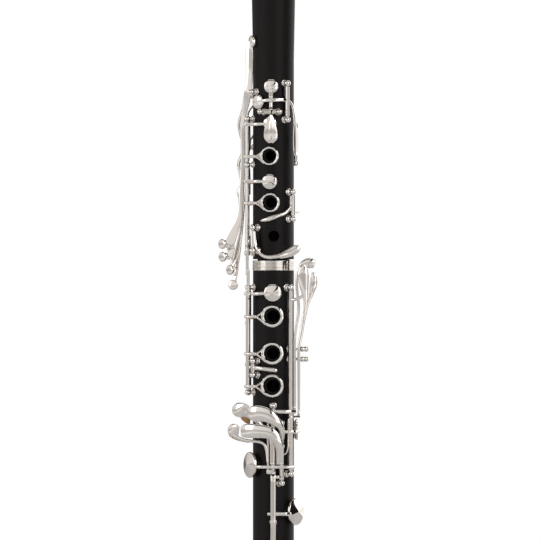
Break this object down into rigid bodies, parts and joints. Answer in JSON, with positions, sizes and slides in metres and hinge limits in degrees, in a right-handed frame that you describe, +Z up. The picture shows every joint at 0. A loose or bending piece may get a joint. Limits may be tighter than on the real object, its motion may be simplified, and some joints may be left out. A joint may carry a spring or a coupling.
{
  "type": "clarinet",
  "caption": "Soprano clarinet in dark wood with silver-plated keywork: mouthpiece, barrel, two joints, flared bell, finger rings, side keys and little-finger levers.",
  "frame": {"origin": "centre of the bell's rim, in the plane it stands on", "axes": "+Z up the bore from the bell to the mouthpiece tip; the finger holes face -Y and the little-finger levers of the left hand lie towards +X"},
  "size_m": [0.08, 0.08, 0.671],
  "materials": {
    "grenadilla": "satin",
    "ebonite": "polished",
    "cane": "matt",
    "key_silver": "polished",
    "ring_silver": "polished",
    "steel": "satin",
    "pad_skin": "matt",
    "cork": "matt"
  },
  "bodies": {
    "clarinet_body": {"upper_joint": "grenadilla", "lower_joint": "grenadilla", "joint_ring": "ring_silver", "bell": "grenadilla", "bell_rings": "ring_silver", "barrel": "grenadilla", "barrel_rings": "ring_silver", "tenon_corks": "cork", "mouthpiece": "ebonite", "reed": "cane", "ligature_band": "key_silver", "ligature_screws": "key_silver", "thumb_rest": "key_silver", "thumb_rest_screws": "steel", "thumb_tube": "key_silver", "register_tube": "key_silver", "upper_posts": "key_silver", "lower_posts": "key_silver", "upper_rods": "steel", "lower_rods": "steel"},
    "lh1_ring_key_body": {"lh1_ring_key": "key_silver", "lh1_ring_pad": "pad_skin"},
    "lh2_ring_key_body": {"lh2_ring_key": "key_silver", "lh2_ring_pad": "pad_skin"},
    "thumb_ring_body": {"thumb_ring_key": "key_silver"},
    "a_key_body": {"a_key": "key_silver", "a_pad": "pad_skin"},
    "g_sharp_key_body": {"g_sharp_key": "key_silver", "g_sharp_pad": "pad_skin"},
    "lh_sliver_key_body": {"lh_sliver_key": "key_silver", "lh_sliver_pad": "pad_skin"},
    "c_sharp_key_body": {"c_sharp_key": "key_silver", "c_sharp_pad": "pad_skin"},
    "register_key_body": {"register_key": "key_silver", "register_pad": "pad_skin"},
    "trill_1_body": {"trill_1_key": "key_silver", "trill_1_pad": "pad_skin"},
    "trill_2_body": {"trill_2_key": "key_silver", "trill_2_pad": "pad_skin"},
    "trill_3_body": {"trill_3_key": "key_silver", "trill_3_pad": "pad_skin"},
    "trill_4_body": {"trill_4_key": "key_silver", "trill_4_pad": "pad_skin"},
    "rh_ring_key_body": {"rh_ring_key": "key_silver", "rh_ring_pad": "pad_skin"},
    "rh_sliver_key_body": {"rh_sliver_key": "key_silver", "rh_sliver_pad": "pad_skin"},
    "rh_e_key_body": {"rh_e_key": "key_silver", "rh_e_pad": "pad_skin"},
    "rh_f_sharp_key_body": {"rh_f_sharp_key": "key_silver", "rh_f_sharp_pad": "pad_skin"},
    "rh_f_key_body": {"rh_f_key": "key_silver"},
    "f_cup_key_body": {"f_cup_key": "key_silver", "f_cup_pad": "pad_skin"},
    "rh_a_flat_key_body": {"rh_a_flat_key": "key_silver", "rh_a_flat_pad": "pad_skin"},
    "lh_f_sharp_lever_body": {"lh_f_sharp_lever": "key_silver"},
    "lh_e_lever_body": {"lh_e_lever": "key_silver"},
    "lh_f_lever_body": {"lh_f_lever": "key_silver"}
  },
  "joints": [
    {"name": "lh1_ring_turn", "type": "hinge", "parent": "clarinet_body", "child": "lh1_ring_key_body", "pos_m": [-0.0183, -0.0043, 0.42], "axis": [0, 0, 1], "range_deg": [0, 3.2], "stiffness_Nm_per_rad": 0.05, "springref_deg": -20.05},
    {"name": "lh2_ring_turn", "type": "hinge", "parent": "clarinet_body", "child": "lh2_ring_key_body", "pos_m": [-0.0183, -0.0043, 0.372], "axis": [0, 0, 1], "range_deg": [0, 3.2], "stiffness_Nm_per_rad": 0.05, "springref_deg": -20.05},
    {"name": "thumb_ring_turn", "type": "hinge", "parent": "clarinet_body", "child": "thumb_ring_body", "pos_m": [0.0154, 0.0108, 0.418], "axis": [0, 0, 1], "range_deg": [0, 3.4], "stiffness_Nm_per_rad": 0.05, "springref_deg": -20.05},
    {"name": "a_key_rock", "type": "hinge", "parent": "clarinet_body", "child": "a_key_body", "pos_m": [-0.0026, -0.0176, 0.4406], "axis": [1, 0, 0], "range_deg": [0, 4.5], "stiffness_Nm_per_rad": 0.05, "springref_deg": -20.05},
    {"name": "g_sharp_turn", "type": "hinge", "parent": "clarinet_body", "child": "g_sharp_key_body", "pos_m": [0.0098, -0.0153, 0.448], "axis": [0, 0, 1], "range_deg": [0, 5], "stiffness_Nm_per_rad": 0.05, "springref_deg": -20.05},
    {"name": "lh_sliver_turn", "type": "hinge", "parent": "clarinet_body", "child": "lh_sliver_key_body", "pos_m": [0.0137, -0.0126, 0.375], "axis": [0, 0, -1], "range_deg": [0, 4], "stiffness_Nm_per_rad": 0.05, "springref_deg": -20.05},
    {"name": "c_sharp_turn", "type": "hinge", "parent": "clarinet_body", "child": "c_sharp_key_body", "pos_m": [-0.0144, -0.0119, 0.351], "axis": [0, 0, 1], "range_deg": [0, 3.5], "stiffness_Nm_per_rad": 0.05, "springref_deg": -20.05},
    {"name": "register_rock", "type": "hinge", "parent": "clarinet_body", "child": "register_key_body", "pos_m": [0, 0.018, 0.47], "axis": [-1, 0, 0], "range_deg": [0, 3], "stiffness_Nm_per_rad": 0.05, "springref_deg": -20.05},
    {"name": "trill_1_rock", "type": "hinge", "parent": "clarinet_body", "child": "trill_1_body", "pos_m": [-0.01484, 0.00927, 0.416], "axis": [-0.4695, -0.8829, 0], "range_deg": [0, 2.4], "stiffness_Nm_per_rad": 0.05, "springref_deg": -20.05},
    {"name": "trill_2_rock", "type": "hinge", "parent": "clarinet_body", "child": "trill_2_body", "pos_m": [-0.01664, 0.00541, 0.434], "axis": [-0.2756, -0.9613, 0], "range_deg": [0, 2.6], "stiffness_Nm_per_rad": 0.05, "springref_deg": -20.05},
    {"name": "trill_3_rock", "type": "hinge", "parent": "clarinet_body", "child": "trill_3_body", "pos_m": [-0.01698, 0.00423, 0.452], "axis": [-0.1736, -0.9848, 0], "range_deg": [0, 2.4], "stiffness_Nm_per_rad": 0.05, "springref_deg": -20.05},
    {"name": "trill_4_rock", "type": "hinge", "parent": "clarinet_body", "child": "trill_4_body", "pos_m": [-0.01623, -0.00656, 0.4546], "axis": [0.2079, -0.9781, 0], "range_deg": [0, 2.2], "stiffness_Nm_per_rad": 0.05, "springref_deg": -20.05},
    {"name": "rh_ring_turn", "type": "hinge", "parent": "clarinet_body", "child": "rh_ring_key_body", "pos_m": [-0.0177, -0.0058, 0.281], "axis": [0, 0, 1], "range_deg": [0, 3.2], "stiffness_Nm_per_rad": 0.05, "springref_deg": -20.05},
    {"name": "rh_sliver_turn", "type": "hinge", "parent": "clarinet_body", "child": "rh_sliver_key_body", "pos_m": [-0.0143, -0.0119, 0.261], "axis": [0, 0, 1], "range_deg": [0, 3.5], "stiffness_Nm_per_rad": 0.05, "springref_deg": -20.05},
    {"name": "rh_e_turn", "type": "hinge", "parent": "clarinet_body", "child": "rh_e_key_body", "pos_m": [-0.0002, -0.0184, 0.18], "axis": [0, 0, -1], "range_deg": [0, 6], "stiffness_Nm_per_rad": 0.05, "springref_deg": -20.05},
    {"name": "rh_f_sharp_turn", "type": "hinge", "parent": "clarinet_body", "child": "rh_f_sharp_key_body", "pos_m": [-0.0002, -0.0184, 0.208], "axis": [0, 0, -1], "range_deg": [0, 5.5], "stiffness_Nm_per_rad": 0.05, "springref_deg": -20.05},
    {"name": "rh_f_turn", "type": "hinge", "parent": "clarinet_body", "child": "rh_f_key_body", "pos_m": [0.0056, -0.0177, 0.194], "axis": [0, 0, -1], "range_deg": [0, 5.8], "stiffness_Nm_per_rad": 0.05, "springref_deg": -20.05},
    {"name": "f_cup_turn", "type": "hinge", "parent": "clarinet_body", "child": "f_cup_key_body", "pos_m": [-0.0002, -0.0184, 0.17], "axis": [0, 0, 1], "range_deg": [0, 6], "stiffness_Nm_per_rad": 0.05, "springref_deg": -20.05},
    {"name": "rh_a_flat_turn", "type": "hinge", "parent": "clarinet_body", "child": "rh_a_flat_key_body", "pos_m": [0.0056, -0.0177, 0.215], "axis": [0, 0, -1], "range_deg": [0, 5], "stiffness_Nm_per_rad": 0.05, "springref_deg": -20.05},
    {"name": "lh_f_sharp_turn", "type": "hinge", "parent": "clarinet_body", "child": "lh_f_sharp_lever_body", "pos_m": [0.012, -0.0143, 0.25], "axis": [0, 0, 1], "range_deg": [0, 15], "stiffness_Nm_per_rad": 0.05, "springref_deg": -20.05},
    {"name": "lh_e_rock", "type": "hinge", "parent": "clarinet_body", "child": "lh_e_lever_body", "pos_m": [0.01485, -0.0102, 0.2747], "axis": [-1, 0, 0], "range_deg": [0, 2.4], "stiffness_Nm_per_rad": 0.05, "springref_deg": -20.05},
    {"name": "lh_f_rock", "type": "hinge", "parent": "clarinet_body", "child": "lh_f_lever_body", "pos_m": [0.01775, -0.0102, 0.2677], "axis": [-1, 0, 0], "range_deg": [0, 2], "stiffness_Nm_per_rad": 0.05, "springref_deg": -20.05}
  ],
  "couplings": [
    {"joint": "f_cup_turn", "follows": "rh_f_turn", "ratio": 1.03},
    {"joint": "lh_f_rock", "follows": "rh_f_turn", "ratio": 0.32},
    {"joint": "lh_e_rock", "follows": "rh_e_turn", "ratio": 0.37},
    {"joint": "lh_f_sharp_turn", "follows": "rh_f_sharp_turn", "ratio": 2.6}
  ]
}
